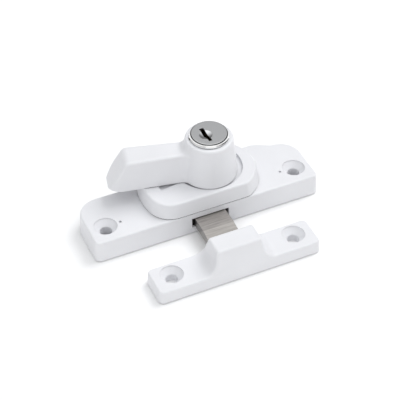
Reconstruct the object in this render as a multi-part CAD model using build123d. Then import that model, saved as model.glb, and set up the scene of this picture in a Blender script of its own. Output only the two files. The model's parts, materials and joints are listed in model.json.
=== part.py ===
# Key-locking window fastener: a lever on a low boss turns a crank that shoots a flat bolt
# into a separate keeper, and a key in the lever's hub drops a pin that stops the lever.
#
# Frame: millimetres. The origin lies midway between the two fixing screws on the face that
# goes against the window. X runs along the fixing plate, -Y points at the keeper, Z is up.
import os
from math import cos, sin, tan, radians

from build123d import *

os.makedirs("parts", exist_ok=True)

# Driving sizes.
# Fixing plate
SCREW_SPACING = 76.0
PLATE_END = 6.5
PLATE_THICK = 9.0
PLATE_DRAFT = 3.0
PLATE_FRONT = -7.56
PLATE_REAR = 15.2
BULGE_REAR = 18.5
FRONT_CORNER_R = 2.0
REAR_CORNER_R = 8.0
PLATE_EDGE_R = 0.7
FOOT_EASE = 0.4
FIXING_HOLE_R = 2.28
FIXING_SINK_R = 4.3
FIXING_SINK_STEP = 0.5
SLOPE_RUN = 6.2
SLOPE_CROWN_R = 8.0
SLOPE_RIGHT_R = 1.0
SLOPE_LEFT_R = 3.0
CORE_FROM_SCREW = 6.1
CORE_LONG = 8.0
CORE_SPANS_Y = ((-5.4, 3.2), (4.8, 12.6))
PIP_INBOARD = 5.7
PIP_R = 0.55
PIP_DEPTH = 0.9

# Lever axis and how far it stands open from the shut stop
AXIS_X = 5.5
AXIS_Y = 5.74
REST_TURN = 13.8
FULL_TURN = 90.0

# Boss housing on the plate
BOSS_HEIGHT = 6.0
BOSS_DRAFT = 13.0
BOSS_EDGE_R = 0.8
BOSS_LEFT_R = 27.1
BOSS_RIGHT_X = 9.47
BOSS_RIGHT_Y = 6.35
BOSS_RIGHT_R = 15.4
BOSS_REAR = 17.3
BOSS_CORNER_RS = (9.0, 6.0, 5.0, 4.0)
TRACK_DEPTH = 1.1
TRACK_R = 20.45
TRACK_STOP = 187.8
TRACK_OPEN = 62.0
POCKET_X = 6.3
POCKET_Y = 8.04
POCKET_R = 12.8
SEAM_HIGH = 0.28
SEAM_DEEP = 0.4

# Bolt and its window
BOLT_X = -0.1
BOLT_WIDE = 12.2
BOLT_THICK = 3.7
BOLT_BOTTOM = 2.9
BOLT_PROUD_OPEN = 2.5
BOLT_RAMP_START = 7.0
BOLT_RAMP_ANGLE = 9.0
WINDOW_WIDE = 14.8
WINDOW_BELOW = 0.2
WINDOW_ABOVE = 0.3
HEAD_SIDE_WALL = 1.2
HEAD_END_WALL = 1.3
HEAD_STEP = 1.0
BOLT_EASE = 0.6

# Crank
CRANK_R = 11.0
CRANK_THICK = 2.2
CRANK_GAP = 0.4
PIN_R = 1.5
# Straight-line share of the crank's sine over the quarter turn, and the play that covers the rest
CRANK_LINEAR = 0.923
YOKE_PLAY = 0.3

# Lever
LEVER_GAP = 0.3
WEB_THICK = 3.1
HUB_FOOT_R = 10.5
HUB_LEAN = 1.75
HUB_RISE = 3.9
HUB_EDGE_R = 0.9
HUB_INSET = 0.4
ARM_REACH = 37.6
ARM_HIGH = 12.2
ARM_FALL = 0.2
ARM_HALF_WIDE = 4.45
ARM_FLARE = 0.045
ARM_DRAFT = 4.5
ARM_BEVEL_FOOT = 0.5
ARM_BEVEL_RUN = 6.4
ARM_NOSE_R = 2.8
ARM_TIP_CORNER_R = 5.4
ARM_TIP_SPARE = 0.8
ARM_ROOT_R = 5.5
ARM_EDGE_R = 1.1
ARM_CREST_R = 3.0
ARM_WALL = 1.9
ARM_RIB = 1.4
ARM_ROOF = 5.5
LUG_INNER = 13.6
LUG_SIDE_GAP = 0.45
LUG_FLOOR_GAP = 0.25

# Key cylinder
CAP_R = 7.3
CAP_FACE_R = 6.85
CAP_GAP = 0.2
CAP_THICK = 1.6
CAP_RIM = 0.45
CAP_BULGE = 0.12
CAP_EDGE_R = 0.6
KEYWAY_LONG = 7.6
KEYWAY_WIDE = 1.3
KEYWAY_STEP_LONG = 4.6
KEYWAY_STEP_WIDE = 0.3
KEYWAY_X = -1.4
KEYWAY_Y = -0.89
KEYWAY_TURN = -74.2
DISH_R = 2.45
DISH_DEPTH = 0.5
PLUG_R = 4.95
PLUG_HEAD_HIGH = 0.9
BARREL_R = 6.85
WAFER_COUNT = 4
WAFER_THICK = 0.8
WAFER_LONG = 9.0
WAFER_WIDE = 4.0
WAFER_WINDOW = (5.2, 2.2)
WAFER_MARGIN = 1.0
WAFER_GROOVE = 0.7
WAFER_ROOM = 0.3

# Locking pin and the cam that drives it
LOCK_PIN_R = 1.0
LOCK_PIN_AT = 5.8
LOCK_PIN_HEAD_R = 1.55
LOCK_PIN_HEAD_HIGH = 1.3
LOCK_PIN_DOME_R = 2.2
LOCK_PIN_TRAVEL = 1.6
LOCK_PIN_PROUD = 0.4
CAM_TURN = 90.0
CAM_THICK = 2.0
CAM_CLEAR = 0.6
CAM_TOUCH_GAP = 0.05
CAM_DWELL = 20.0
CAM_STEP = 10.0
CAM_SCREW_R = 1.0
CAM_SCREW_HEAD_R = 2.0
CAM_SCREW_HEAD = 0.9

# Spindle
SPINDLE_R = 3.5
SPINDLE_SQUARE = 4.9
BUSH_R = 4.5
BUSH_PROUD = 0.8
HANDLE_SCREW_R = 1.5
HANDLE_SCREW_HEAD_R = 4.2
HANDLE_SCREW_HEAD = 1.6
HANDLE_SCREW_DEEP = 7.0
WASHER_WIDE = 2.0
WASHER_THICK = 0.35

# Keeper
KEEPER_SPACING = 47.9
KEEPER_END = 7.35
KEEPER_DEPTH = 12.5
KEEPER_THICK = 5.5
KEEPER_DRAFT = 4.0
KEEPER_X = -0.7
KEEPER_Y = -29.5
KEEPER_HOLE_Y = 0.94
KEEPER_CORNER_R = 1.8
KEEPER_EDGE_R = 0.6
ARCH_TOP = 14.2
ARCH_HALF_WIDE = 8.6
ARCH_FLARE = 0.8
ARCH_FOOT = 1.0
ARCH_LEAN = 0.26
ARCH_ROOT_R = 4.6
ARCH_EDGE_R = 1.0
ARCH_WALL = 1.7
ARCH_SIDE_WALL = 0.9

# Clearances
RUN_FIT = 0.05
SLIDE_FIT = 0.15
SEAT_FIT = 0.02
FREE_GAP = 0.3
WALL = 2.1
THIN_WALL = 1.5

# Sizes that follow.
PLATE_LENGTH = SCREW_SPACING + 2 * PLATE_END
PLATE_GROW = PLATE_THICK * tan(radians(PLATE_DRAFT))
SLOPE_FOOT = PLATE_LENGTH / 2 - AXIS_X - REAR_CORNER_R - FREE_GAP
SLOPE_HEAD = SLOPE_FOOT - SLOPE_RUN
KEEPER_LENGTH = KEEPER_SPACING + 2 * KEEPER_END
KEEPER_GROW = KEEPER_THICK * tan(radians(KEEPER_DRAFT))
BOSS_TOP = PLATE_THICK + BOSS_HEIGHT
LEVER_BOTTOM = BOSS_TOP + LEVER_GAP
HUB_TOP_R = HUB_FOOT_R - HUB_LEAN
ARM_TOP_AT_HUB = LEVER_BOTTOM + ARM_HIGH
ARM_TOP_AT_TIP = ARM_TOP_AT_HUB - ARM_FALL
HUB_TOP = ARM_TOP_AT_HUB + HUB_RISE
WEB_TOP = LEVER_BOTTOM + WEB_THICK
TRACK_FLOOR = BOSS_TOP - TRACK_DEPTH
CAVITY_FRONT = PLATE_FRONT + WALL
CAVITY_REAR = BULGE_REAR - THIN_WALL
BOLT_TOP = BOLT_BOTTOM + BOLT_THICK
CRANK_BOTTOM = BOLT_TOP + CRANK_GAP
CRANK_TOP = CRANK_BOTTOM + CRANK_THICK
ROOF_BOTTOM = CRANK_TOP + 1.0
COVER_TOP = BOLT_BOTTOM - SLIDE_FIT
COVER_THICK = 1.6
COVER_BOTTOM = COVER_TOP - COVER_THICK
CRANK_SHUT = 180.0 + FULL_TURN / 2
YOKE_RATE = CRANK_LINEAR * CRANK_R
YOKE_HALF = PIN_R + YOKE_PLAY
YOKE_REST_Y = AXIS_Y - YOKE_RATE * radians(FULL_TURN / 2 - REST_TURN)
OPEN_TRAVEL = YOKE_RATE * radians(FULL_TURN - REST_TURN)
TIP_REST_Y = PLATE_FRONT - BOLT_PROUD_OPEN - OPEN_TRAVEL
HEAD_LEFT = AXIS_X - CRANK_R - PIN_R - YOKE_PLAY - HEAD_SIDE_WALL
HEAD_RIGHT = BOLT_X + BOLT_WIDE / 2 + HEAD_STEP
HEAD_FRONT = YOKE_REST_Y - YOKE_HALF - HEAD_END_WALL
HEAD_REAR = YOKE_REST_Y + YOKE_HALF + HEAD_END_WALL
CRANK_END_R = PIN_R + 0.6
CRANK_EYE_R = SPINDLE_R + 1.7
SWEEP_R = CRANK_R + CRANK_END_R + FREE_GAP
BORE_R = BARREL_R + SEAT_FIT
COLLAR_BOTTOM = TRACK_FLOOR + BUSH_PROUD + SEAT_FIT
LOCK_PIN_TIP = TRACK_FLOOR + LOCK_PIN_PROUD
LOCK_PIN_TOP = WEB_TOP + HANDLE_SCREW_HEAD + 1.0
LOCK_POCKET_FLOOR = LOCK_PIN_TIP - LOCK_PIN_TRAVEL - FREE_GAP
CAM_DISC_BOTTOM = LOCK_PIN_TOP + CAM_CLEAR
PLUG_BOTTOM = CAM_DISC_BOTTOM + CAM_THICK
BARREL_BOTTOM = PLUG_BOTTOM + FREE_GAP
BARREL_TOP = HUB_TOP - CAP_GAP / 2
CAP_BOTTOM = HUB_TOP + CAP_GAP
CAP_TOP = CAP_BOTTOM + CAP_THICK
PLUG_HEAD_TOP = CAP_BOTTOM + PLUG_HEAD_HIGH
GRUB_Z = (BARREL_BOTTOM + BARREL_TOP) / 2


def at_axis(shape):
    """Stand a part of the lever, drawn with its arm along -X, on the lever axis."""
    return Pos(AXIS_X, AXIS_Y, 0) * Rot(0, 0, -REST_TURN) * shape


def prism(face, bottom, top):
    """A plan shape carried from one height to another."""
    return extrude(Pos(0, 0, bottom) * face, top - bottom, dir=(0, 0, 1))


def rod(radius, bottom, top, x=0.0, y=0.0):
    """An upright cylinder between two heights."""
    return Pos(x, y, (bottom + top) / 2) * Cylinder(radius, top - bottom)


def box_between(x0, x1, y0, y1, z0, z1):
    """A square-edged block between opposite faces."""
    return Pos((x0 + x1) / 2, (y0 + y1) / 2, (z0 + z1) / 2) * Box(x1 - x0, y1 - y0, z1 - z0)


def polar(radius, angle):
    return (radius * cos(radians(angle)), radius * sin(radians(angle)))


def wedge(radius, start, end, step=15.0):
    """A pie slice about the origin, from one bearing up to another."""
    count = max(2, int((end - start) / step) + 1)
    reach = radius * 1.2
    rim = [polar(reach, start + (end - start) * i / count) for i in range(count + 1)]
    slice_face = make_face(Polyline((0, 0), *rim, close=True))
    return slice_face & Circle(radius)


def rounded(face, points, radii):
    """Round the corners of a flat shape that lie at the given points."""
    for point, radius in zip(points, radii):
        corner = min(face.vertices(), key=lambda v: (v.X - point[0]) ** 2 + (v.Y - point[1]) ** 2)
        face = fillet(corner, radius)
    return face


def sink_screw(shank_r, head_r, length, slot_wide):
    """A countersunk screw standing head down with its head face on Z=0."""
    head_high = head_r - shank_r
    body = Cone(head_r, shank_r, head_high, align=(Align.CENTER, Align.CENTER, Align.MIN))
    body += rod(shank_r, head_high, length)
    cross = Box(head_r * 1.3, slot_wide, head_high) + Box(slot_wide, head_r * 1.3, head_high)
    return body - cross


def fixing_hole(x, y, face_z):
    """A screw hole through a foot of the fastener, countersunk below a shallow step."""
    cone_high = FIXING_SINK_R - FIXING_HOLE_R
    cone_top = face_z - FIXING_SINK_STEP
    hole = rod(FIXING_HOLE_R, -1, face_z + 1, x, y)
    hole += Pos(x, y, cone_top - cone_high / 2) * Cone(FIXING_HOLE_R, FIXING_SINK_R, cone_high)
    return hole + rod(FIXING_SINK_R, cone_top, face_z + 1, x, y)


# Fixing plate.
def plate_outline():
    """Outline of the plate's top face."""
    half = PLATE_LENGTH / 2
    points = [
        (-half, PLATE_FRONT),
        (half, PLATE_FRONT),
        (half, PLATE_REAR),
        (AXIS_X + SLOPE_FOOT, PLATE_REAR),
        (AXIS_X + SLOPE_HEAD, BULGE_REAR),
        (AXIS_X - SLOPE_HEAD, BULGE_REAR),
        (AXIS_X - SLOPE_FOOT, PLATE_REAR),
        (-half, PLATE_REAR),
    ]
    radii = [
        FRONT_CORNER_R, FRONT_CORNER_R, REAR_CORNER_R, SLOPE_RIGHT_R,
        SLOPE_CROWN_R, SLOPE_CROWN_R, SLOPE_LEFT_R, REAR_CORNER_R,
    ]
    return rounded(make_face(Polyline(*points, close=True)), points, radii)


def boss_outline():
    high = BOSS_REAR - PLATE_FRONT
    wide = PLATE_LENGTH
    band = Pos(0, (BOSS_REAR + PLATE_FRONT) / 2) * Rectangle(wide, high)
    left = (Pos(AXIS_X, AXIS_Y) * Circle(BOSS_LEFT_R)) & band
    left = left & (Pos(BOSS_RIGHT_X - wide / 2, 0) * Rectangle(wide, wide))
    right = (Pos(BOSS_RIGHT_X, BOSS_RIGHT_Y) * Circle(BOSS_RIGHT_R)) & band
    right = right & (Pos(BOSS_RIGHT_X + wide / 2, 0) * Rectangle(wide, wide))
    outline = left + right
    front_left = AXIS_X - (BOSS_LEFT_R ** 2 - (AXIS_Y - PLATE_FRONT) ** 2) ** 0.5
    rear_left = AXIS_X - (BOSS_LEFT_R ** 2 - (BOSS_REAR - AXIS_Y) ** 2) ** 0.5
    front_right = BOSS_RIGHT_X + (BOSS_RIGHT_R ** 2 - (BOSS_RIGHT_Y - PLATE_FRONT) ** 2) ** 0.5
    rear_right = BOSS_RIGHT_X + (BOSS_RIGHT_R ** 2 - (BOSS_REAR - BOSS_RIGHT_Y) ** 2) ** 0.5
    points = [
        (front_left, PLATE_FRONT),
        (rear_left, BOSS_REAR),
        (front_right, PLATE_FRONT),
        (rear_right, BOSS_REAR),
    ]
    return rounded(outline, points, BOSS_CORNER_RS)


def crank_plan(bearing, grow=0.0):
    """Outline of the crank, eye and pin end joined by straight sides, at one bearing."""
    eye = Circle(CRANK_EYE_R + grow)
    tip = Pos(*polar(CRANK_R, bearing)) * Circle(CRANK_END_R + grow)
    return make_hull(eye.edges() + tip.edges())


def crank_room():
    """Plan of the space the crank sweeps through."""
    first = 180.0 - FULL_TURN / 2
    last = 180.0 + FULL_TURN / 2
    sweep = wedge(SWEEP_R, first, last)
    for bearing in (first, (first + last) / 2, last):
        sweep += crank_plan(bearing, FREE_GAP)
    return Pos(AXIS_X, AXIS_Y) * sweep


CHANNEL_LEFT = HEAD_LEFT - SLIDE_FIT
CHANNEL_RIGHT = HEAD_RIGHT + SLIDE_FIT
COVER_LEDGE = 2.7
COVER_SCREW_R = 0.8
COVER_SCREW_INSET = 3.5
COVER_SCREW_X = (CHANNEL_LEFT - COVER_LEDGE / 2, CHANNEL_RIGHT + COVER_LEDGE / 2)
COVER_SCREW_Y = (CAVITY_FRONT + COVER_SCREW_INSET, CAVITY_REAR - COVER_SCREW_INSET)
COVER_SCREW_LONG = 5.2
COVER_SCREW_HEAD = 0.45
HOUSING_SCREW_R = 1.5
HOUSING_SCREW_HEAD_R = 2.9
HOUSING_SCREW_LONG = 12.2
HOUSING_SCREW_SUNK = 0.3
HOUSING_SCREWS = [(-15.5, 0.8), (-14.6, 11.6), (15.6, -1.4), (17.2, 10.8)]


def make_base_plate():
    body = extrude(offset(plate_outline(), PLATE_GROW), PLATE_THICK, taper=PLATE_DRAFT)
    body = fillet(body.edges().group_by(Axis.Z)[-1], PLATE_EDGE_R)
    body = chamfer(body.edges().group_by(Axis.Z)[0], FOOT_EASE)
    # The seat of the boss stays square-edged so that the two castings meet in a fine seam.
    body += prism(boss_outline(), PLATE_THICK - 2 * PLATE_EDGE_R, PLATE_THICK)
    for side in (-1, 1):
        x = side * SCREW_SPACING / 2
        body -= fixing_hole(x, 0, PLATE_THICK)
        pip_x = x - side * PIP_INBOARD
        body -= rod(PIP_R, PLATE_THICK - PIP_DEPTH, PLATE_THICK + 1, pip_x)
    # Window for the bolt, the channel behind it and the room for the crank.
    half_window = WINDOW_WIDE / 2
    outside_y = PLATE_FRONT - PLATE_GROW - 1
    body -= box_between(-half_window, half_window, outside_y, CAVITY_FRONT + 1,
                        BOLT_BOTTOM - WINDOW_BELOW, BOLT_TOP + WINDOW_ABOVE)
    body -= box_between(CHANNEL_LEFT, CHANNEL_RIGHT, CAVITY_FRONT, CAVITY_REAR,
                        -1, BOLT_TOP + SLIDE_FIT)
    body -= prism(crank_room(), BOLT_TOP, PLATE_THICK + 1)
    # Seat of the back cover.
    body -= box_between(CHANNEL_LEFT - COVER_LEDGE, CHANNEL_RIGHT + COVER_LEDGE,
                        CAVITY_FRONT, CAVITY_REAR, -1, COVER_TOP)
    for x in COVER_SCREW_X:
        for y in COVER_SCREW_Y:
            screw_end = COVER_BOTTOM + COVER_SCREW_LONG
            body -= rod(COVER_SCREW_R + SEAT_FIT, COVER_TOP - 1, screw_end, x, y)
    for x, y in HOUSING_SCREWS:
        head_high = HOUSING_SCREW_HEAD_R - HOUSING_SCREW_R
        body -= rod(HOUSING_SCREW_R + SLIDE_FIT, -1, PLATE_THICK + 1, x, y)
        body -= rod(HOUSING_SCREW_HEAD_R + SEAT_FIT, -1, HOUSING_SCREW_SUNK, x, y)
        sink = Cone(HOUSING_SCREW_HEAD_R + SEAT_FIT, HOUSING_SCREW_R + SEAT_FIT, head_high)
        body -= Pos(x, y, HOUSING_SCREW_SUNK + head_high / 2) * sink
    # Cored pockets between the ribs on the underside.
    for side in (-1, 1):
        for y0, y1 in CORE_SPANS_Y:
            core_far = SCREW_SPACING / 2 - CORE_FROM_SCREW
            near, far = sorted((side * (core_far - CORE_LONG), side * core_far))
            core = box_between(near, far, y0, y1, -1, PLATE_THICK - WALL)
            body -= fillet(core.edges().filter_by(Axis.Z), CORE_CORNER_R)
    return body


def make_boss_housing():
    body = extrude(Pos(0, 0, PLATE_THICK) * boss_outline(), BOSS_HEIGHT, taper=BOSS_DRAFT)
    body = fillet(body.faces().sort_by(Axis.Z)[-1].edges(), BOSS_EDGE_R)
    # Fine shadow step where the housing meets the plate.
    inner = offset(boss_outline(), -SEAM_DEEP)
    body -= prism(boss_outline() - inner, PLATE_THICK, PLATE_THICK + SEAM_HIGH)
    # Track for the stop lug and the round sink under the lever's hub.
    track = Pos(AXIS_X, AXIS_Y) * wedge(TRACK_R, TRACK_OPEN, TRACK_STOP)
    sunk = track + Pos(POCKET_X, POCKET_Y) * Circle(POCKET_R)
    body -= prism(sunk, TRACK_FLOOR, BOSS_TOP + 1)
    # Room for the crank, and the bore for the bush.
    body -= prism(crank_room(), PLATE_THICK - 1, ROOF_BOTTOM)
    body -= rod(BUSH_R + SEAT_FIT, PLATE_THICK, BOSS_TOP + 1, AXIS_X, AXIS_Y)
    # The locking pin drops into a short arc with the lever shut and into a hole with it open.
    wide = LOCK_PIN_R + SLIDE_FIT
    arc_ring = Circle(LOCK_PIN_AT + wide) - Circle(LOCK_PIN_AT - wide)
    arc = arc_ring & wedge(LOCK_PIN_AT * 2, 180.0 - REST_TURN, 180.0)
    for bearing in (180.0 - REST_TURN, 180.0, 180.0 - FULL_TURN):
        arc += Pos(*polar(LOCK_PIN_AT, bearing)) * Circle(wide)
    body -= prism(Pos(AXIS_X, AXIS_Y) * arc, LOCK_POCKET_FLOOR, BOSS_TOP)
    for x, y in HOUSING_SCREWS:
        body -= rod(HOUSING_SCREW_R + SEAT_FIT, PLATE_THICK - 1,
                    HOUSING_SCREW_SUNK + HOUSING_SCREW_LONG + 0.2, x, y)
    return body


def make_housing_screws():
    screw = sink_screw(HOUSING_SCREW_R, HOUSING_SCREW_HEAD_R, HOUSING_SCREW_LONG, 0.7)
    return Compound(children=[Pos(x, y, HOUSING_SCREW_SUNK) * screw for x, y in HOUSING_SCREWS])


def make_back_cover():
    gap = SLIDE_FIT
    body = box_between(CHANNEL_LEFT - COVER_LEDGE + gap, CHANNEL_RIGHT + COVER_LEDGE - gap,
                       CAVITY_FRONT + gap, CAVITY_REAR - gap, COVER_BOTTOM, COVER_TOP)
    body = fillet(body.edges().filter_by(Axis.Z), 0.6)
    shank = COVER_SCREW_R + SEAT_FIT
    sink = Cone(shank + COVER_SCREW_HEAD, shank, COVER_SCREW_HEAD)
    for x in COVER_SCREW_X:
        for y in COVER_SCREW_Y:
            body -= rod(shank, COVER_BOTTOM - 1, COVER_TOP + 1, x, y)
            body -= Pos(x, y, COVER_BOTTOM + COVER_SCREW_HEAD / 2) * sink
    return body


def make_cover_screws():
    screw = sink_screw(COVER_SCREW_R, COVER_SCREW_R + COVER_SCREW_HEAD, COVER_SCREW_LONG - 0.2, 0.3)
    places = [(x, y) for x in COVER_SCREW_X for y in COVER_SCREW_Y]
    return Compound(children=[Pos(x, y, COVER_BOTTOM) * screw for x, y in places])


def make_spindle_bush():
    ring = rod(BUSH_R, ROOF_BOTTOM, TRACK_FLOOR + BUSH_PROUD)
    ring -= rod(SPINDLE_R + RUN_FIT, ROOF_BOTTOM - 1, BOSS_TOP + 1)
    return Pos(AXIS_X, AXIS_Y, 0) * ring


# Keeper.
def arch_front_profile(base_z):
    """The arch as seen from the front: a flat top, flared sides and round roots."""
    waist_z = KEEPER_THICK + ARCH_ROOT_R * 0.95
    foot = (ARCH_HALF_WIDE + ARCH_FOOT + ARCH_ROOT_R, KEEPER_THICK)
    waist = (ARCH_HALF_WIDE + ARCH_FLARE, waist_z)
    crown = (ARCH_HALF_WIDE, ARCH_TOP)
    sag = -ARCH_ROOT_R * 0.27
    right = Line(crown, waist) + SagittaArc(waist, foot, sag) + Line(foot, (foot[0], base_z))
    left = [(-x, z) for x, z in (foot, waist, crown)]
    left_side = SagittaArc(left[0], left[1], sag) + Line(left[1], left[2])
    base = Line((foot[0], base_z), (-foot[0], base_z)) + Line((-foot[0], base_z), left[0])
    return make_face(left_side + Line(left[2], crown) + right + base)


def arch_side_profile(base_z):
    """The arch as seen from its end: drafted below, leaning inward above the feet."""
    low = KEEPER_DEPTH / 2 + (KEEPER_THICK - base_z) * tan(radians(KEEPER_DRAFT))
    top = KEEPER_DEPTH / 2 - ARCH_LEAN * (ARCH_TOP - KEEPER_THICK)
    half = [(low, base_z), (KEEPER_DEPTH / 2, KEEPER_THICK), (top, ARCH_TOP)]
    return make_face(Polyline(*half, *[(-y, z) for y, z in reversed(half)], close=True))


def on_arch_corner(edge):
    """True for the upright edges between the arch's ends and its front and rear faces."""
    middle = edge.center()
    return abs(middle.X) > ARCH_HALF_WIDE - 0.1 and KEEPER_THICK + 0.3 < middle.Z < ARCH_TOP - 0.3


def make_keeper():
    outline = RectangleRounded(KEEPER_LENGTH, KEEPER_DEPTH, KEEPER_CORNER_R)
    feet = extrude(offset(outline, KEEPER_GROW), KEEPER_THICK, taper=KEEPER_DRAFT)
    feet = fillet(feet.edges().group_by(Axis.Z)[-1], KEEPER_EDGE_R)
    feet = chamfer(feet.edges().group_by(Axis.Z)[0], FOOT_EASE)
    base_z = KEEPER_THICK / 4
    arch = extrude(Plane.XZ * arch_front_profile(base_z), KEEPER_DEPTH, both=True)
    arch = arch & extrude(Plane.YZ * arch_side_profile(base_z), KEEPER_LENGTH, both=True)
    crown_edges = arch.faces().sort_by(Axis.Z)[-1].edges()
    arch = fillet(arch.edges().filter_by(on_arch_corner) + crown_edges, ARCH_EDGE_R)
    body = feet + arch
    # Pocket for the bolt, open behind and below.
    pocket_half = ARCH_HALF_WIDE - ARCH_SIDE_WALL
    pocket_top = ARCH_TOP - ARCH_WALL
    pocket_front = -KEEPER_DEPTH / 2 + ARCH_LEAN * (pocket_top - KEEPER_THICK) + ARCH_WALL
    body -= box_between(-pocket_half, pocket_half, pocket_front, KEEPER_DEPTH, -1, pocket_top)
    for side in (-1, 1):
        body -= fixing_hole(side * KEEPER_SPACING / 2, KEEPER_HOLE_Y, KEEPER_THICK)
    return Pos(KEEPER_X, KEEPER_Y, 0) * body


# Bolt.
def make_bolt():
    half = BOLT_WIDE / 2
    blade = box_between(BOLT_X - half, BOLT_X + half, TIP_REST_Y, HEAD_REAR, BOLT_BOTTOM, BOLT_TOP)
    head = box_between(HEAD_LEFT, HEAD_RIGHT, HEAD_FRONT, HEAD_REAR, BOLT_BOTTOM, BOLT_TOP)
    body = blade + head
    body = fillet(body.edges().filter_by(Axis.Z).group_by(Axis.Y)[-1], BOLT_EASE)
    # Nose ramp: the upper face falls away towards the tip.
    crease_y = PLATE_FRONT - BOLT_RAMP_START
    run = crease_y - TIP_REST_Y
    drop = (run + 1) * tan(radians(BOLT_RAMP_ANGLE))
    ramp = make_face(Polyline(
        (crease_y, BOLT_TOP),
        (TIP_REST_Y - 1, BOLT_TOP - drop),
        (TIP_REST_Y - 1, BOLT_TOP + 1),
        (crease_y, BOLT_TOP + 1),
        close=True))
    body -= extrude(Plane.YZ * ramp, PLATE_LENGTH, both=True)
    nose = body.faces().sort_by(Axis.Y)[0]
    body = chamfer(nose.edges().filter_by(Axis.X), BOLT_EASE)
    # Cross slot that the crank pin works in.
    slot_left = AXIS_X - CRANK_R - PIN_R - YOKE_PLAY
    slot_right = AXIS_X - CRANK_R * cos(radians(FULL_TURN / 2)) + YOKE_HALF
    slot = box_between(slot_left, slot_right, YOKE_REST_Y - YOKE_HALF, YOKE_REST_Y + YOKE_HALF,
                       BOLT_BOTTOM - 1, BOLT_TOP + 1)
    body -= fillet(slot.edges().filter_by(Axis.Z), PIN_R * 0.6)
    return body


# Crank and spindle.
SPINDLE_TOP = WEB_TOP - 0.1
RIVET_R = SPINDLE_R + 0.4
RIVET_HIGH = 0.5
PIN_NECK_R = PIN_R - 0.3


def make_spindle():
    square = Rectangle(SPINDLE_SQUARE, SPINDLE_SQUARE)
    body = rod(SPINDLE_R, CRANK_TOP, COLLAR_BOTTOM)
    body += prism(square, CRANK_BOTTOM, CRANK_TOP)
    body += prism(square, COLLAR_BOTTOM, SPINDLE_TOP)
    # The lower end is spread into the crank's countersink.
    spread = Cone(RIVET_R, RIVET_R - RIVET_HIGH, RIVET_HIGH)
    body += Pos(0, 0, CRANK_BOTTOM + RIVET_HIGH / 2) * spread
    body -= rod(HANDLE_SCREW_R + SEAT_FIT, WEB_TOP - HANDLE_SCREW_DEEP - 0.5, WEB_TOP + 1)
    return at_axis(body)


def make_handle_screw():
    body = rod(HANDLE_SCREW_R, WEB_TOP - HANDLE_SCREW_DEEP, WEB_TOP)
    head = rod(HANDLE_SCREW_HEAD_R, WEB_TOP, WEB_TOP + HANDLE_SCREW_HEAD)
    head = fillet(head.edges().group_by(Axis.Z)[-1], 0.5)
    slot_long, slot_wide = HANDLE_SCREW_HEAD_R * 0.95, HANDLE_SCREW_HEAD_R * 0.21
    slot_high = HANDLE_SCREW_HEAD * 1.1
    cross = Box(slot_long, slot_wide, slot_high) + Box(slot_wide, slot_long, slot_high)
    return at_axis(body + head - Pos(0, 0, WEB_TOP + HANDLE_SCREW_HEAD) * cross)


def make_crank_arm():
    pin_x, pin_y = polar(CRANK_R, CRANK_SHUT)
    body = prism(crank_plan(CRANK_SHUT), CRANK_BOTTOM, CRANK_TOP)
    body = chamfer(body.edges().group_by(Axis.Z)[-1], 0.3)
    body -= prism(Rectangle(SPINDLE_SQUARE + SEAT_FIT, SPINDLE_SQUARE + SEAT_FIT),
                  CRANK_BOTTOM - 1, CRANK_TOP + 1)
    spread = Cone(RIVET_R + SEAT_FIT, RIVET_R - RIVET_HIGH + SEAT_FIT, RIVET_HIGH)
    body -= Pos(0, 0, CRANK_BOTTOM + RIVET_HIGH / 2) * spread
    body -= rod(PIN_NECK_R + SEAT_FIT, CRANK_BOTTOM - 1, CRANK_TOP + 1, pin_x, pin_y)
    return at_axis(body)


def make_crank_pin():
    body = rod(PIN_R, BOLT_BOTTOM + 0.3, CRANK_BOTTOM)
    body = chamfer(body.edges().group_by(Axis.Z)[0], 0.3)
    body += rod(PIN_NECK_R, CRANK_BOTTOM, CRANK_TOP)
    return at_axis(Pos(*polar(CRANK_R, CRANK_SHUT), 0) * body)


def make_spring_washer():
    low = CRANK_TOP + SEAT_FIT
    high = ROOF_BOTTOM - SEAT_FIT
    inner = SPINDLE_R + SLIDE_FIT
    outer = SPINDLE_R + WASHER_WIDE
    section = make_face(Polyline(
        (outer, low),
        (outer, low + WASHER_THICK),
        (inner, high),
        (inner, high - WASHER_THICK),
        close=True))
    return at_axis(revolve(Plane.XZ * section, Axis.Z))


# Lever.
CORE_CORNER_R = 1.2
GRUB_R = 1.25
GRUB_INNER = BARREL_R - 0.85
GRUB_OUTER = HUB_TOP_R - SLIDE_FIT
GRUB_KEY_R = 0.7
GRUB_KEY_DEEP = 1.0
PIN_HOLE_R = LOCK_PIN_R + RUN_FIT
SPRING_POCKET_R = LOCK_PIN_HEAD_R + SLIDE_FIT
SPRING_FLOOR = LEVER_BOTTOM + 0.9
SPRING_WIRE = 0.15
SPRING_TURNS = 4
LUG_HALF_ANGLE = TRACK_STOP - 180.0 - 0.4
BEVEL_FOOT_Z = LEVER_BOTTOM + ARM_BEVEL_FOOT
BEVEL_RATE = ARM_BEVEL_RUN / (ARM_TOP_AT_TIP - BEVEL_FOOT_Z)


def hub_body():
    high = HUB_TOP - LEVER_BOTTOM
    foot = (HUB_FOOT_R, LEVER_BOTTOM)
    low = (HUB_FOOT_R - 0.2 * HUB_LEAN, LEVER_BOTTOM + 0.3 * high)
    mid = (HUB_FOOT_R - 0.54 * HUB_LEAN, LEVER_BOTTOM + 0.62 * high)
    top = (HUB_TOP_R, HUB_TOP)
    profile = make_face(
        Polyline((0, LEVER_BOTTOM), foot)
        + Spline(foot, low, mid, top)
        + Polyline(top, (0, HUB_TOP), (0, LEVER_BOTTOM)))
    hub = revolve(Plane.XZ * profile, Axis.Z)
    return fillet(hub.edges().group_by(Axis.Z)[-1], HUB_EDGE_R)


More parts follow.
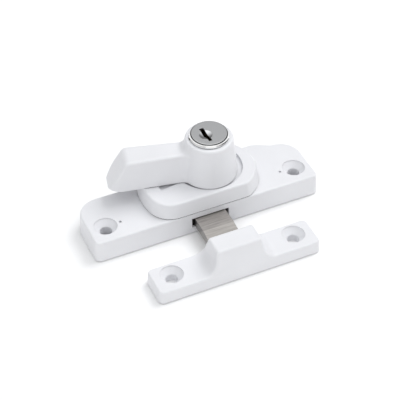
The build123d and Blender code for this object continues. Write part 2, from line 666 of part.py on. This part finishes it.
def arm_plan():
    """Plan of the arm at its underside, widening to the tip and flared into the hub."""
    hub_r = HUB_FOOT_R - HUB_INSET
    tip_x = -ARM_REACH - ARM_TIP_SPARE
    tip_half = ARM_HALF_WIDE - ARM_FLARE * tip_x
    tips = [(tip_x, -tip_half), (tip_x, tip_half)]
    arm = make_face(Polyline((0, -ARM_HALF_WIDE), *tips, (0, ARM_HALF_WIDE), close=True))
    plan = Circle(hub_r) + rounded(arm, tips, [ARM_TIP_CORNER_R] * 2)
    slant = 1 + ARM_FLARE ** 2
    reach = (hub_r ** 2 * slant - ARM_HALF_WIDE ** 2) ** 0.5 - ARM_HALF_WIDE * ARM_FLARE
    root_x = -reach / slant
    root_y = ARM_HALF_WIDE - ARM_FLARE * root_x
    return rounded(plan, [(root_x, -root_y), (root_x, root_y)], [ARM_ROOT_R] * 2)


def arm_body():
    """Arm with its root flared into the hub, its end cut to a slope."""
    body = extrude(Pos(0, 0, LEVER_BOTTOM) * arm_plan(), ARM_HIGH, taper=ARM_DRAFT)
    nose = (-ARM_REACH + ARM_BEVEL_RUN, ARM_TOP_AT_TIP)
    low = LEVER_BOTTOM - 1
    low_x = -ARM_REACH - BEVEL_RATE * (BEVEL_FOOT_Z - low)
    side = make_face(Polyline(
        (HUB_FOOT_R, low),
        (low_x, low),
        nose,
        (-HUB_TOP_R, ARM_TOP_AT_HUB),
        (HUB_FOOT_R, ARM_TOP_AT_HUB),
        close=True))
    side = rounded(side, [nose], [ARM_NOSE_R])
    return body & extrude(Plane.XZ * side, ARM_REACH, both=True)


def on_arm_rim(edge):
    """True for the edges that run round the arm's top and down its sides."""
    middle = edge.center()
    beyond_hub = middle.X < -HUB_FOOT_R - 1.5
    return beyond_hub and middle.Z > BEVEL_FOOT_Z + 0.5 and abs(middle.Y) > 1.0


def on_arm_root(edge):
    """True for the edges where the arm's top runs into the hub."""
    middle = edge.center()
    beside_hub = -HUB_FOOT_R - 1 < middle.X < -HUB_FOOT_R / 2
    return beside_hub and ARM_TOP_AT_TIP - 0.5 < middle.Z < HUB_TOP - 1.5


def make_handle_lever():
    arm = arm_body()
    arm = fillet(arm.edges().filter_by(on_arm_rim), ARM_EDGE_R)
    body = hub_body() + arm
    body = fillet(body.edges().filter_by(on_arm_root), ARM_CREST_R)
    # Bore for the barrel and, below the web, the socket for the spindle.
    body += rod(BUSH_R, COLLAR_BOTTOM, LEVER_BOTTOM)
    body -= rod(BORE_R, WEB_TOP, HUB_TOP + 1)
    socket = SPINDLE_SQUARE + SEAT_FIT
    body -= prism(Rectangle(socket, socket), COLLAR_BOTTOM - 1, WEB_TOP + 1)
    # Locking pin hole, its spring pocket and the keyway the pocket leaves up the bore.
    body -= rod(PIN_HOLE_R, LEVER_BOTTOM - 1, WEB_TOP, -LOCK_PIN_AT)
    body -= rod(SPRING_POCKET_R, SPRING_FLOOR, HUB_TOP + 1, -LOCK_PIN_AT)
    # Stop lug that runs in the track of the boss.
    lug = wedge(TRACK_R - LUG_SIDE_GAP, 180.0 - LUG_HALF_ANGLE, 180.0 + LUG_HALF_ANGLE)
    body += prism(lug - Circle(LUG_INNER), TRACK_FLOOR + LUG_FLOOR_GAP, LEVER_BOTTOM + 0.5)
    # Two cored pockets, with a rib between them, in the overhanging end of the arm.
    core_top = ARM_TOP_AT_TIP - ARM_ROOF
    near = -TRACK_R - ARM_WALL / 2
    far = -ARM_REACH + BEVEL_RATE * (core_top - BEVEL_FOOT_Z) + 1.2 * ARM_WALL
    rib = (near + far) / 2
    half_core = ARM_HALF_WIDE - ARM_FLARE * near - ARM_WALL
    for x0, x1 in ((far, rib - ARM_RIB / 2), (rib + ARM_RIB / 2, near)):
        core = box_between(x0, x1, -half_core, half_core, LEVER_BOTTOM - 1, core_top)
        body -= fillet(core.edges().filter_by(Axis.Z), CORE_CORNER_R)
    # Tapped hole for the grub screw that holds the barrel.
    body -= cross_rod(GRUB_R + SEAT_FIT, BORE_R - 1, HUB_FOOT_R + 1, GRUB_Z)
    return at_axis(body)


def cross_rod(radius, near, far, z):
    """A level cylinder square to the arm, from one distance off the lever axis to another."""
    return Pos(0, (near + far) / 2, z) * Rot(90, 0, 0) * Cylinder(radius, far - near)


def make_barrel_screw():
    body = cross_rod(GRUB_R, GRUB_INNER, GRUB_OUTER, GRUB_Z)
    key = extrude(RegularPolygon(GRUB_KEY_R, 6), GRUB_KEY_DEEP, both=True)
    return at_axis(body - Pos(0, GRUB_OUTER, GRUB_Z) * Rot(90, 0, 0) * key)


# Key cylinder.
def keyway_plan():
    """Key slot: a straight band with a narrower step beside its rear part."""
    band = Pos(0, KEYWAY_STEP_WIDE / 2) * Rectangle(KEYWAY_LONG, KEYWAY_WIDE)
    step_x = (KEYWAY_STEP_LONG - KEYWAY_LONG) / 2
    step = Pos(step_x, -KEYWAY_WIDE / 2) * Rectangle(KEYWAY_STEP_LONG, KEYWAY_STEP_WIDE + 0.02)
    return Pos(KEYWAY_X, KEYWAY_Y) * Rot(0, 0, KEYWAY_TURN) * (band + step)


WAFER_TURN = KEYWAY_TURN
CAM_TOP = PLUG_BOTTOM
CAM_R = BARREL_R - SLIDE_FIT
CAM_RAMP_INNER = HANDLE_SCREW_HEAD_R + 0.35


def wafer_levels():
    pitch = (BARREL_TOP - BARREL_BOTTOM - WAFER_MARGIN) / WAFER_COUNT
    return [BARREL_BOTTOM + WAFER_MARGIN + i * pitch for i in range(WAFER_COUNT)]


def make_key_plug():
    body = rod(PLUG_R, PLUG_BOTTOM, PLUG_HEAD_TOP)
    body -= prism(keyway_plan(), PLUG_BOTTOM + 0.9, PLUG_HEAD_TOP + 1)
    for z in wafer_levels():
        slot = Rot(0, 0, WAFER_TURN) * Rectangle(2 * PLUG_R + 1, WAFER_WIDE + SEAT_FIT * 2)
        body -= prism(slot, z - SEAT_FIT, z + WAFER_THICK + SEAT_FIT)
    body += rod(CAM_SCREW_R + 0.9, PLUG_BOTTOM, PLUG_BOTTOM + 0.9)
    body -= rod(CAM_SCREW_R + SEAT_FIT, PLUG_BOTTOM - 1, PLUG_BOTTOM + 0.9)
    return at_axis(body)


def make_wafers():
    blank = Rot(0, 0, WAFER_TURN) * Rectangle(WAFER_LONG, WAFER_WIDE)
    window = Pos(KEYWAY_X, KEYWAY_Y) * Rot(0, 0, WAFER_TURN) * Rectangle(*WAFER_WINDOW)
    plate = prism(blank - window, 0, WAFER_THICK)
    return Compound(children=[at_axis(Pos(0, 0, z) * plate) for z in wafer_levels()])


def make_lock_barrel():
    body = rod(BARREL_R, BARREL_BOTTOM, BARREL_TOP)
    key = rod(SPRING_POCKET_R - SEAT_FIT, BARREL_BOTTOM, BARREL_TOP, -LOCK_PIN_AT)
    body += key
    body -= rod(PLUG_R + RUN_FIT, BARREL_BOTTOM - 1, BARREL_TOP + 1)
    # Grooves that the wafers stand in when no key is in place.
    groove_long = 2 * (PLUG_R + WAFER_GROOVE)
    groove_wide = WAFER_WIDE + 2 * WAFER_ROOM
    groove = Rot(0, 0, WAFER_TURN) * Rectangle(groove_long, groove_wide)
    body -= prism(groove, BARREL_BOTTOM + 2 * WAFER_ROOM, BARREL_TOP - 2 * WAFER_ROOM)
    body -= cross_rod(GRUB_R + SEAT_FIT, GRUB_INNER - 0.1, BARREL_R + 1, GRUB_Z)
    return at_axis(body)


def make_cylinder_cap():
    section = make_face(
        Polyline((0, CAP_BOTTOM), (CAP_R - 0.15, CAP_BOTTOM), (CAP_R, CAP_BOTTOM + 0.15),
                 (CAP_R, CAP_BOTTOM + CAP_RIM))
        + SagittaArc((CAP_R, CAP_BOTTOM + CAP_RIM), (CAP_FACE_R, CAP_TOP), CAP_BULGE)
        + Polyline((CAP_FACE_R, CAP_TOP), (0, CAP_TOP), (0, CAP_BOTTOM)))
    body = revolve(Plane.XZ * section, Axis.Z)
    body = fillet(body.edges().group_by(Axis.Z)[-1], CAP_EDGE_R)
    body -= rod(PLUG_R + SEAT_FIT, CAP_BOTTOM - 1, PLUG_HEAD_TOP + SEAT_FIT)
    body -= prism(keyway_plan(), CAP_BOTTOM - 1, CAP_TOP + 1)
    sphere_r = (DISH_R ** 2 + DISH_DEPTH ** 2) / (2 * DISH_DEPTH)
    body -= Pos(KEYWAY_X, KEYWAY_Y, CAP_TOP + sphere_r - DISH_DEPTH) * Sphere(sphere_r)
    return at_axis(body)


def make_lock_cam():
    """Disc under the plug whose lower ramp presses the locking pin down as it turns."""
    body = rod(CAM_R, CAM_DISC_BOTTOM, CAM_TOP)
    contact = LOCK_PIN_TOP + CAM_TOUCH_GAP
    bearings = [-CAM_DWELL, 0.0]
    bearings += [CAM_STEP * i for i in range(1, int(CAM_TURN / CAM_STEP) + 1)]
    bearings += [CAM_TURN + CAM_DWELL]
    sections = []
    for bearing in bearings:
        share = min(max(bearing / CAM_TURN, 0.0), 1.0)
        low = contact - LOCK_PIN_TRAVEL * share
        plane = Plane(origin=(0, 0, 0), x_dir=(*polar(1, 180 + bearing), 0),
                      z_dir=(*polar(1, 180 + bearing - 90), 0))
        radial_mid = (CAM_RAMP_INNER + CAM_R) / 2
        tall = CAM_DISC_BOTTOM + 0.2 - low
        rect = Pos(radial_mid, low + tall / 2) * Rectangle(CAM_R - 0.05 - CAM_RAMP_INNER, tall)
        sections.append(plane * rect)
    ramp = loft(sections, ruled=True)
    body += ramp
    body -= rod(CAM_SCREW_R + SEAT_FIT, CAM_DISC_BOTTOM - 2, CAM_TOP + 1)
    return at_axis(body)


def make_cam_screw():
    low = CAM_DISC_BOTTOM - CAM_SCREW_HEAD
    slot = CAM_SCREW_HEAD_R * 1.2
    head = rod(CAM_SCREW_HEAD_R, low, CAM_DISC_BOTTOM)
    head -= Pos(0, 0, low) * (Box(slot, 0.5, CAM_SCREW_HEAD) + Box(0.5, slot, CAM_SCREW_HEAD))
    body = rod(CAM_SCREW_R, CAM_DISC_BOTTOM, PLUG_BOTTOM + 0.85)
    return at_axis(head + body)


def make_locking_pin():
    body = rod(LOCK_PIN_R, LOCK_PIN_TIP, LOCK_PIN_TOP - 0.7)
    body = chamfer(body.edges().group_by(Axis.Z)[0], 0.2)
    head = rod(LOCK_PIN_HEAD_R, LOCK_PIN_TOP - LOCK_PIN_HEAD_HIGH, LOCK_PIN_TOP)
    head = head & (Pos(0, 0, LOCK_PIN_TOP - LOCK_PIN_DOME_R) * Sphere(LOCK_PIN_DOME_R))
    return at_axis(Pos(-LOCK_PIN_AT, 0, 0) * (body + head))


def make_locking_pin_spring():
    low = SPRING_FLOOR + SPRING_WIRE + 0.02
    high = LOCK_PIN_TOP - LOCK_PIN_HEAD_HIGH - SPRING_WIRE - 0.02
    coil_r = (LOCK_PIN_R + LOCK_PIN_HEAD_R) / 2 + 0.05
    path = Helix(pitch=(high - low) / SPRING_TURNS, height=high - low, radius=coil_r)
    start = Plane(origin=path @ 0, z_dir=path % 0)
    wire = sweep(start * RegularPolygon(SPRING_WIRE, 6), path)
    return at_axis(Pos(-LOCK_PIN_AT, 0, low) * wire)


# Write the parts.
PARTS = {
    "base_plate": make_base_plate,
    "boss_housing": make_boss_housing,
    "housing_screws": make_housing_screws,
    "back_cover": make_back_cover,
    "cover_screws": make_cover_screws,
    "spindle_bush": make_spindle_bush,
    "keeper": make_keeper,
    "bolt": make_bolt,
    "spindle": make_spindle,
    "handle_screw": make_handle_screw,
    "crank_arm": make_crank_arm,
    "crank_pin": make_crank_pin,
    "spring_washer": make_spring_washer,
    "handle_lever": make_handle_lever,
    "barrel_screw": make_barrel_screw,
    "key_plug": make_key_plug,
    "wafers": make_wafers,
    "lock_barrel": make_lock_barrel,
    "cylinder_cap": make_cylinder_cap,
    "lock_cam": make_lock_cam,
    "cam_screw": make_cam_screw,
    "locking_pin": make_locking_pin,
    "locking_pin_spring": make_locking_pin_spring,
}

for name, make in PARTS.items():
    export_step(make(), "parts/" + name + ".step")
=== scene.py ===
import json
import math

import bpy
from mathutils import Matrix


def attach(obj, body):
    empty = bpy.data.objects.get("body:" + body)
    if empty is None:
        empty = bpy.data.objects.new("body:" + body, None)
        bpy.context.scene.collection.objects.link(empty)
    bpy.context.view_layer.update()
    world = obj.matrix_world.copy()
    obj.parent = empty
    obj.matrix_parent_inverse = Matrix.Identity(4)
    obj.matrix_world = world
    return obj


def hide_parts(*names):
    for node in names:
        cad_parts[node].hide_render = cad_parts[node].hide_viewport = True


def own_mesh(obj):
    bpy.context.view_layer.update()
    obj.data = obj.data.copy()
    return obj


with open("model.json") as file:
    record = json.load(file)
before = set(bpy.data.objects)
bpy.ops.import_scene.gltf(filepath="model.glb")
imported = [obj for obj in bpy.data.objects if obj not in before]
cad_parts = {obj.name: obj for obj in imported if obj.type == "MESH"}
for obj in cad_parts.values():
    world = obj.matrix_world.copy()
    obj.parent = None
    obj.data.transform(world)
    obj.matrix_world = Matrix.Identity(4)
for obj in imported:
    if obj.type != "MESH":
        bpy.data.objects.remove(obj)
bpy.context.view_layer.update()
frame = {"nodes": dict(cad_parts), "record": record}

# All lengths are metres in the row frame, all angles degrees and all colours linear.

# The key cylinder's cap: its axis, its top, the radius of its flat face, and how far below its
# top the key slot gets painted shade.
AXIS_X = 0.0055
AXIS_Y = 0.00574
CAP_TOP = 0.0332
CAP_FACE_R = 0.00655
SLOT_SHADE_DEPTH = 0.0007
SLOT_SHADE_COLOUR = (0.02, 0.018, 0.015, 1.0)

# The painted dark reflection round the cap's face: how far below its top it is full and how far
# down it ends.
REFLECTION_RING_FULL = 0.00022
REFLECTION_RING_END = 0.00050
REFLECTION_RING_LEVEL = 0.08

# The white coat's two close tints, which its grain runs between.
COAT_DARK = (0.800, 0.802, 0.824)
COAT_LIGHT = (0.820, 0.822, 0.844)
COAT_IOR = 1.48

# The bolt's channel in the base plate, where the coat gets painted shade: middle and half width
# in X, where it starts and ends in Y, its lowest and highest points, and the grey of its painted
# shade.
CHANNEL_X = -0.0001
CHANNEL_HALF_WIDE = 0.0078
CHANNEL_START_Y = -0.0068
CHANNEL_END_Y = 0.0171
CHANNEL_LOW = 0.0006
CHANNEL_HIGH = 0.0082
CHANNEL_SHADE_LEVEL = 0.02

# The plate's screw holes, painted with shade low down: half their spacing, a little over their
# radius, how high the painted shade reaches, and its level of grey.
HOLE_HALF_SPACING = 0.038
HOLE_REACH_R = 0.0026
HOLE_SHADE_HIGH = 0.0016
HOLE_SHADE_LEVEL = 0.12

# The bolt's blade: middle and half width in X, how deep its sheared sides reach, and their look.
BLADE_X = -0.0001
BLADE_HALF_WIDE = 0.0061
SHEARED_DEPTH = 0.00008
SHEARED_COLOUR = (0.37, 0.355, 0.34, 1.0)

# The floor: half its side, how far it lies under the part, and its grey. Its glow is for the
# camera, mirrors and glass alone, and fades to full white between two distances.
FLOOR_HALF = 3.0
FLOOR_DROP = 0.00002
FLOOR_LEVEL = 0.95
FLOOR_GLOW = 0.05
FLOOR_NEAR = 0.25
FLOOR_FAR = 1.20

# The studio round the part. A height is the sine of the elevation. The sky's levels by height,
# its tint, and the two heights between which it takes over from the sides. The sides run from
# one level behind to another in front, between two shares of the way towards the open side.
SKY_LEVELS = ((0.0, 0.50), (0.60, 0.50), (0.66, 0.52), (0.78, 0.60), (0.88, 1.12), (1.0, 1.10))
SKY_TINT = (0.985, 1.0, 1.02)
SKY_START = 0.48
SKY_FULL = 0.64
OPEN_SIDE = (-0.75, -0.66, 0.0)
OPEN_START = -0.35
OPEN_FULL = 0.40
LEVEL_BEHIND = 0.12
LEVEL_IN_FRONT = 0.74
WORLD_LEVEL = 1.04

# The point that both lamps face.
LAMP_AIM = (0.0, -0.01, 0.01)

# Camera measured from the photograph: place, tilt up from straight down, bearing and lens.
CAMERA_PLACE = (-0.1460, -0.3177, 0.3356)
CAMERA_TILT = 90.0 - 43.221
CAMERA_TURN = -24.575
CAMERA_LENS = 117.0
CAMERA_SENSOR = 36.0
CAMERA_CLIP = 0.01


class Tree:
    """A node tree with short calls. A value fed to a socket is plain or a (node, output) pair."""

    def __init__(self, owner):
        owner.use_nodes = True
        self.nodes = owner.node_tree.nodes
        self.links = owner.node_tree.links
        self.nodes.clear()

    def add(self, kind, **settings):
        node = self.nodes.new(kind)
        for key, value in settings.items():
            setattr(node, key, value)
        return node

    def feed(self, value, node, socket):
        """Join a (node, output) pair to the socket, or set the socket to a plain value."""
        if isinstance(value, tuple) and isinstance(value[0], bpy.types.Node):
            self.links.new(value[0].outputs[value[1]], node.inputs[socket])
        else:
            node.inputs[socket].default_value = value

    def maths(self, operation, *parts):
        node = self.add("ShaderNodeMath", operation=operation)
        for index, part in enumerate(parts):
            self.feed(part, node, index)
        return node, "Value"

    def product(self, parts):
        result = parts[0]
        for part in parts[1:]:
            result = self.maths("MULTIPLY", result, part)
        return result

    def spread(self, source, low, high, start=0.0, end=1.0, **settings):
        """The source carried from start..end to low..high."""
        node = self.add("ShaderNodeMapRange", **settings)
        self.feed(source, node, "Value")
        self.feed(start, node, "From Min")
        self.feed(end, node, "From Max")
        self.feed(low, node, "To Min")
        self.feed(high, node, "To Max")
        return node, "Result"

    def ramp(self, source, stops):
        """Colour ramp over the source from (position, colour) stops."""
        node = self.add("ShaderNodeValToRGB")
        elements = node.color_ramp.elements
        while len(elements) < len(stops):
            elements.new(0.5)
        for element, (position, colour) in zip(elements, stops):
            element.position = position
            element.color = (*colour, 1.0)
        self.feed(source, node, "Fac")
        return node, "Color"

    def mix(self, factor, first, second, blend="MIX"):
        """The first colour turning into the second as the factor rises."""
        node = self.add("ShaderNodeMix", data_type="RGBA", blend_type=blend)
        self.feed(factor, node, "Factor")
        self.feed(first, node, "A")
        self.feed(second, node, "B")
        return node, "Result"


class Look(Tree):
    """A material of one Principled shader, with its textures placed in the node's own frame."""

    def __init__(self, name, metallic=0.0):
        self.material = bpy.data.materials.new(name)
        super().__init__(self.material)
        self.shader = self.add("ShaderNodeBsdfPrincipled")
        self.shader.inputs["Metallic"].default_value = metallic
        self.links.new(
            self.shader.outputs["BSDF"],
            self.add("ShaderNodeOutputMaterial").inputs["Surface"],
        )
        self.place = (self.add("ShaderNodeTexCoord"), "Object")

    def split(self):
        node = self.add("ShaderNodeSeparateXYZ")
        self.feed(self.place, node, "Vector")
        return (node, "X"), (node, "Y"), (node, "Z")

    def noise(self, scale, detail, roughness=0.55, source=None):
        """Noise in the node's own frame, or over another source."""
        node = self.add("ShaderNodeTexNoise")
        self.feed(scale, node, "Scale")
        self.feed(detail, node, "Detail")
        self.feed(roughness, node, "Roughness")
        self.feed(source or self.place, node, "Vector")
        return node, "Fac"

    def bump(self, source, strength, distance):
        node = self.add("ShaderNodeBump")
        self.feed(strength, node, "Strength")
        self.feed(distance, node, "Distance")
        self.feed(source, node, "Height")
        self.feed((node, "Normal"), self.shader, "Normal")

    def finish(self, colour, rough):
        self.feed(colour, self.shader, "Base Color")
        self.feed(rough, self.shader, "Roughness")
        return self.material


def grey(level, warm=0.0):
    return (level + warm, level, level - warm)


def from_middle(m, place, middle):
    """How far a place is from the middle, to either side."""
    return m.maths("ABSOLUTE", m.maths("SUBTRACT", place, middle))


def square_radius(m, dx, dy):
    return m.maths("ADD", m.maths("MULTIPLY", dx, dx), m.maths("MULTIPLY", dy, dy))


def in_hole_shade(m, x, y, z):
    """1 low down in either of the plate's screw holes, where shade is painted, 0 on the rest of
    the casting.
    """
    dx = m.maths("SUBTRACT", m.maths("ABSOLUTE", x), HOLE_HALF_SPACING)
    near = m.maths("LESS_THAN", square_radius(m, dx, y), HOLE_REACH_R ** 2)
    return m.product([near, m.maths("LESS_THAN", z, HOLE_SHADE_HIGH)])


def in_channel_shade(m, x, y, z):
    """1 inside the bolt's channel, where shade is painted, 0 on the rest of the casting."""
    return m.product([
        m.maths("LESS_THAN", from_middle(m, x, CHANNEL_X), CHANNEL_HALF_WIDE),
        m.maths("GREATER_THAN", y, CHANNEL_START_Y),
        m.maths("LESS_THAN", y, CHANNEL_END_Y),
        m.maths("GREATER_THAN", z, CHANNEL_LOW),
        m.maths("LESS_THAN", z, CHANNEL_HIGH),
    ])


def paint_crevice_shade(m, colour, reach, dark, start, end):
    """The colour with painted shade: darkened where other surfaces lie within the given reach."""
    crevice = m.add("ShaderNodeAmbientOcclusion", samples=12)
    m.feed(reach, crevice, "Distance")
    shade = m.ramp((crevice, "AO"), [(start, grey(dark)), (end, grey(1.0))])
    return m.mix(1.0, colour, shade, blend="MULTIPLY")


def white_coat(name, on_plate=False):
    """Semi-gloss white powder coat with an even grain and painted shade in seams and, on the
    plate, painted shade in the bolt's channel and low in the screw holes."""
    m = Look(name)
    tint = m.noise(scale=90.0, detail=2.0)
    colour = m.ramp(tint, [(0.3, COAT_DARK), (0.7, COAT_LIGHT)])
    # Painted shade in seams and crevices.
    colour = paint_crevice_shade(m, colour, reach=0.0008, dark=0.04, start=0.16, end=0.42)
    if on_plate:
        x, y, z = m.split()
        # Painted shade: the bolt's channel in the plate turns near black.
        colour = m.mix(in_channel_shade(m, x, y, z), colour, (*grey(CHANNEL_SHADE_LEVEL), 1.0))
        # Painted shade low in the screw holes.
        colour = m.mix(in_hole_shade(m, x, y, z), colour, (*grey(HOLE_SHADE_LEVEL), 1.0))
    grain = m.noise(scale=1500.0, detail=4.0, roughness=0.6)
    m.bump(grain, strength=0.10, distance=0.00008)
    m.feed(COAT_IOR, m.shader, "IOR")
    return m.finish(colour, m.spread(grain, 0.30, 0.42))


def brushed_bolt():
    """Steel brushed across the bolt's travel, duller on its sheared sides, with painted shade in
    crevices.
    """
    m = Look("brushed_bolt", metallic=1.0)
    stretched = m.add("ShaderNodeMapping")
    m.feed(m.place, stretched, "Vector")
    m.feed((90.0, 1700.0, 900.0), stretched, "Scale")
    lines = m.noise(scale=1.0, detail=5.0, roughness=0.65, source=(stretched, "Vector"))
    colour = m.ramp(lines, [(0.28, grey(0.37, warm=0.026)), (0.72, grey(0.62, warm=0.034))])
    # Painted shade in crevices.
    colour = paint_crevice_shade(m, colour, reach=0.0012, dark=0.02, start=0.10, end=0.45)
    side = from_middle(m, m.split()[0], BLADE_X)
    sheared = m.maths("GREATER_THAN", side, BLADE_HALF_WIDE - SHEARED_DEPTH)
    colour = m.mix(sheared, colour, SHEARED_COLOUR)
    m.bump(lines, strength=0.12, distance=0.00004)
    return m.finish(colour, m.spread(lines, 0.30, 0.46))


def cap_chrome():
    """Chromed cap: finely turned face, polished rounding with a painted dark reflection, painted
    shade in the key slot.
    """
    m = Look("cap_chrome", metallic=1.0)
    x, y, z = m.split()
    dx = m.maths("SUBTRACT", x, AXIS_X)
    dy = m.maths("SUBTRACT", y, AXIS_Y)
    radius = m.maths("SQRT", square_radius(m, dx, dy))
    on_face = m.maths("LESS_THAN", radius, CAP_FACE_R)
    off_face = m.maths("GREATER_THAN", radius, CAP_FACE_R)
    circles = m.add("ShaderNodeCombineXYZ")
    m.feed(radius, circles, "X")
    turned = m.noise(scale=14000.0, detail=2.0, roughness=0.5, source=(circles, "Vector"))
    colour = m.ramp(turned, [(0.3, grey(0.76)), (0.7, grey(0.90))])
    # Painted shade deep in the key slot.
    deep = m.maths("LESS_THAN", z, CAP_TOP - SLOT_SHADE_DEPTH)
    colour = m.mix(m.product([deep, on_face]), colour, SLOT_SHADE_COLOUR)
    # Painted dark reflection on the cap's polished rounding.
    high = m.spread(z, 0.0, 1.0, start=CAP_TOP - REFLECTION_RING_END, end=CAP_TOP - REFLECTION_RING_FULL)
    colour = m.mix(m.product([high, off_face]), colour, (*grey(REFLECTION_RING_LEVEL), 1.0))
    return m.finish(colour, m.spread(on_face, 0.06, 0.30))


def metal(name, dark, light, smooth, rough, crevice_shade=False):
    """Plain worked metal with a fine grain, and painted shade in crevices where asked for."""
    m = Look(name, metallic=1.0)
    grain = m.noise(scale=700.0, detail=4.0, roughness=0.6)
    colour = m.ramp(grain, [(0.3, dark), (0.7, light)])
    if crevice_shade:
        # Painted shade in crevices.
        colour = paint_crevice_shade(m, colour, reach=0.002, dark=0.01, start=0.30, end=0.85)
    m.bump(grain, strength=0.05, distance=0.00004)
    return m.finish(colour, m.spread(grain, smooth, rough))


MATERIALS = {
    "white_coat": white_coat("white_coat"),
    "brushed_bolt": brushed_bolt(),
    "cap_chrome": cap_chrome(),
    # The lock's brass gets painted shade in its crevices.
    "lock_brass": metal(
        "lock_brass", dark=(0.52, 0.43, 0.24), light=(0.66, 0.56, 0.34),
        smooth=0.28, rough=0.42, crevice_shade=True,
    ),
    "bush_brass": metal(
        "bush_brass", dark=(0.50, 0.40, 0.21), light=(0.62, 0.50, 0.29), smooth=0.30, rough=0.45,
    ),
    "zinc_steel": metal(
        "zinc_steel", dark=grey(0.50), light=grey(0.62), smooth=0.26, rough=0.40,
    ),
    "spring_steel": metal(
        "spring_steel", dark=grey(0.36), light=grey(0.46), smooth=0.22, rough=0.36,
    ),
}
PLATE_COAT = white_coat("plate_coat", on_plate=True)


def dress():
    """Give every node the material of its slot, and the base plate its own coat."""
    for part in frame["record"]["subparts"]:
        look = MATERIALS[part["material_slot"]]
        if part["node"] == "base_plate":
            look = PLATE_COAT
        materials = frame["nodes"][part["node"]].data.materials
        materials.clear()
        materials.append(look)


def new_object(name, data):
    made = bpy.data.objects.new(name, data)
    bpy.context.scene.collection.objects.link(made)
    return made


def make_spring():
    """The locking pin's spring, copied from its node and attached to the handle; in the lock it
    shortens as the cam pushes the pin down on to it, but this copy keeps its shape.
    """
    node = frame["nodes"]["locking_pin_spring"]
    spring = new_object("pin_spring", node.data.copy())
    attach(spring, "handle")
    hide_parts("locking_pin_spring")
    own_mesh(spring)


def make_floor():
    """Pale floor that shows white to the camera and keeps the object's shadow."""
    mesh = bpy.data.meshes.new("floor")
    corners = [
        (x * FLOOR_HALF, y * FLOOR_HALF, -FLOOR_DROP)
        for x, y in ((-1, -1), (1, -1), (1, 1), (-1, 1))
    ]
    mesh.from_pydata(corners, [], [(0, 1, 2, 3)])
    floor = new_object("floor", mesh)
    material = bpy.data.materials.new("floor")
    tree = Tree(material)
    diffuse = tree.add("ShaderNodeBsdfDiffuse")
    tree.feed((*grey(FLOOR_LEVEL), 1.0), diffuse, "Color")
    path = tree.add("ShaderNodeLightPath")
    mirrored = tree.maths("MAXIMUM", (path, "Is Camera Ray"), (path, "Is Glossy Ray"))
    seen = tree.maths("MAXIMUM", mirrored, (path, "Is Transmission Ray"))
    distance = tree.add("ShaderNodeVectorMath", operation="LENGTH")
    tree.feed((tree.add("ShaderNodeTexCoord"), "Object"), distance, 0)
    fade = tree.spread((distance, "Value"), FLOOR_GLOW, 1.0, start=FLOOR_NEAR, end=FLOOR_FAR)
    glow = tree.add("ShaderNodeEmission")
    tree.feed((*grey(1.0), 1.0), glow, "Color")
    tree.feed(tree.maths("MULTIPLY", seen, fade), glow, "Strength")
    both = tree.add("ShaderNodeAddShader")
    tree.feed((diffuse, "BSDF"), both, 0)
    tree.feed((glow, "Emission"), both, 1)
    tree.feed((both, "Shader"), tree.add("ShaderNodeOutputMaterial"), "Surface")
    mesh.materials.append(material)


def make_world():
    """Soft studio surround: bright overhead, darker low down and behind, white to the camera."""
    world = bpy.data.worlds.new("studio")
    bpy.context.scene.world = world
    tree = Tree(world)
    place = (tree.add("ShaderNodeTexCoord"), "Generated")
    split = tree.add("ShaderNodeSeparateXYZ")
    tree.feed(place, split, "Vector")
    height = (split, "Z")
    stops = [(at, [level * tint for tint in SKY_TINT]) for at, level in SKY_LEVELS]
    sky = tree.ramp(height, stops)
    towards = tree.add("ShaderNodeVectorMath", operation="DOT_PRODUCT")
    tree.feed(place, towards, 0)
    tree.feed(OPEN_SIDE, towards, 1)
    sides = tree.spread(
        (towards, "Value"), LEVEL_BEHIND, LEVEL_IN_FRONT, start=OPEN_START, end=OPEN_FULL,
    )
    rise = tree.spread(
        height, 0.0, 1.0, start=SKY_START, end=SKY_FULL, interpolation_type="SMOOTHSTEP",
    )
    lit = tree.add("ShaderNodeBackground")
    tree.feed(tree.mix(rise, sides, sky), lit, "Color")
    tree.feed(WORLD_LEVEL, lit, "Strength")
    white = tree.add("ShaderNodeBackground")
    tree.feed((*grey(1.0), 1.0), white, "Color")
    both = tree.add("ShaderNodeMixShader")
    tree.feed((tree.add("ShaderNodeLightPath"), "Is Camera Ray"), both, 0)
    tree.feed((lit, "Background"), both, 1)
    tree.feed((white, "Background"), both, 2)
    tree.feed((both, "Shader"), tree.add("ShaderNodeOutputWorld"), "Surface")


def make_lamp(name, place, size, power):
    """Round area lamp that faces the part."""
    data = bpy.data.lights.new(name, "AREA")
    data.shape = "DISK"
    data.size = size
    data.energy = power
    lamp = new_object(name, data)
    lamp.location = place
    away = [p - a for p, a in zip(place, LAMP_AIM)]
    flat = math.hypot(away[0], away[1])
    lamp.rotation_euler = (math.atan2(flat, away[2]), 0.0, math.atan2(away[0], -away[1]))
    return lamp


def make_camera():
    data = bpy.data.cameras.new("camera")
    data.lens = CAMERA_LENS
    data.sensor_width = CAMERA_SENSOR
    data.clip_start = CAMERA_CLIP
    camera = new_object("camera", data)
    camera.location = CAMERA_PLACE
    camera.rotation_euler = (math.radians(CAMERA_TILT), 0.0, math.radians(CAMERA_TURN))
    bpy.context.scene.camera = camera


dress()
make_spring()
make_floor()
make_world()
key = make_lamp("key_soft", place=(0.75, 0.18, 1.10), size=0.9, power=8.5)
# The bolt and the cap would mirror it as a bright patch that the photograph doesn't have.
key.visible_glossy = False
make_lamp("fill_front", place=(-0.30, -1.20, 0.50), size=1.4, power=1.6)
make_camera()
bpy.context.scene.view_settings.view_transform = "Standard"
